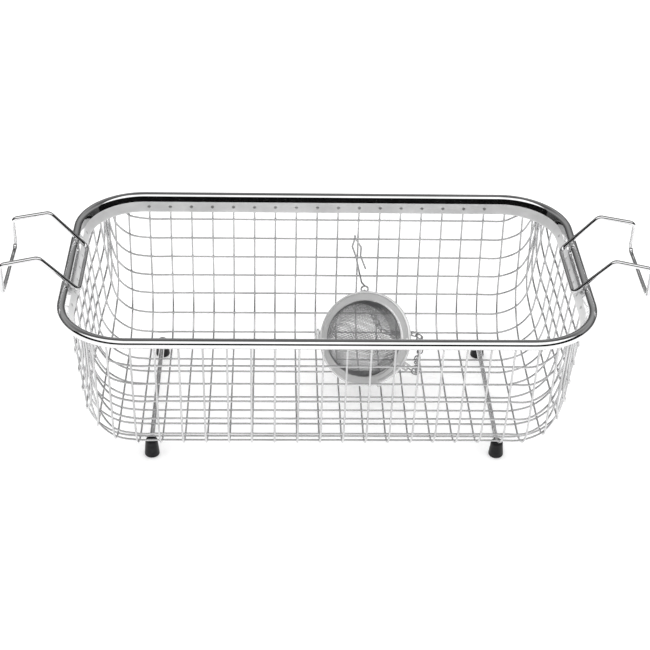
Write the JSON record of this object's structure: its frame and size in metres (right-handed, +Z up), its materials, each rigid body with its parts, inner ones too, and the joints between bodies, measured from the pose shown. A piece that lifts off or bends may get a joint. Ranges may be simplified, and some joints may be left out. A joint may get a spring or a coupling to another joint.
{
  "type": "ultrasonic cleaner basket",
  "caption": "Wire mesh cleaning basket with rolled rim, hook-over wire handles, rubber feet and a hinged round strainer held on a hook and chain.",
  "frame": {"origin": "under the middle of the basket, in the plane of the foot bottoms", "axes": "+X along the basket's length between the two handles, +Z up, front towards -Y"},
  "size_m": [0.311, 0.1382, 0.1018],
  "materials": {
    "polished_rim": "polished stainless steel",
    "mesh_wire": "electropolished stainless wire",
    "polished_wire": "polished stainless wire",
    "rod_steel": "drawn stainless rod",
    "foot_rubber": "moulded black rubber",
    "hook_wire": "drawn stainless wire",
    "chain_steel": "bright link chain",
    "strainer_steel": "satin pressed sheet",
    "strainer_cloth": "fine woven wire cloth"
  },
  "bodies": {
    "basket": {"rim": "polished_rim", "mesh_wires_long": "mesh_wire", "mesh_wires_cross": "mesh_wire", "handle_left": "polished_wire", "handle_right": "polished_wire", "support_rod_left": "rod_steel", "support_rod_right": "rod_steel", "foot_front_left": "foot_rubber", "foot_front_right": "foot_rubber", "foot_rear_left": "foot_rubber", "foot_rear_right": "foot_rubber"},
    "hook": {"hanging_hook": "hook_wire"},
    "chain_top_run": {"chain_upper": "chain_steel"},
    "chain_middle_run": {"chain_middle": "chain_steel"},
    "chain_floor_run": {"chain_lower": "chain_steel"},
    "strainer_back": {"strainer_ring_back": "strainer_steel", "strainer_cloth_back": "strainer_cloth", "strainer_hinge_pin": "strainer_steel"},
    "strainer_front": {"strainer_ring_front": "strainer_steel", "strainer_cloth_front": "strainer_cloth", "latch_rivet": "strainer_steel"},
    "latch": {"strainer_latch": "strainer_steel"}
  },
  "joints": [
    {"name": "hook_swing", "type": "hinge", "parent": "basket", "child": "hook", "pos_m": [0.0174, 0.06132, 0.06229], "axis": [-1, 0, 0], "range_deg": [0, 6]},
    {"name": "chain_top_swing", "type": "hinge", "parent": "hook", "child": "chain_top_run", "pos_m": [0.0234, 0.05602, 0.03259], "axis": [-1, 0, 0], "range_deg": [0, 15]},
    {"name": "chain_middle_swing", "type": "hinge", "parent": "chain_top_run", "child": "chain_middle_run", "pos_m": [0.03085, 0.04603, 0.0176], "axis": [-1, 0, 0], "range_deg": [0, 10]},
    {"name": "chain_floor_swing", "type": "hinge", "parent": "chain_middle_run", "child": "chain_floor_run", "pos_m": [0.05382, 0.03266, 0.0128], "axis": [-1, 0, 0], "range_deg": [0, 10]},
    {"name": "strainer_swing", "type": "hinge", "parent": "chain_floor_run", "child": "strainer_back", "pos_m": [0.04188, -0.00385, 0.02569], "axis": [1, 0, 0], "range_deg": [0, 20]},
    {"name": "strainer_hinge", "type": "hinge", "parent": "strainer_back", "child": "strainer_front", "pos_m": [-0.0026, 0.01997, 0.02677], "axis": [-0.0348, -0.6168, -0.7864], "range_deg": [0, 110]},
    {"name": "latch_swing", "type": "hinge", "parent": "strainer_front", "child": "latch", "pos_m": [0.03726, -0.0022, 0.02556], "axis": [-0.3822, -0.7188, 0.5807], "range_deg": [0, 45]}
  ]
}
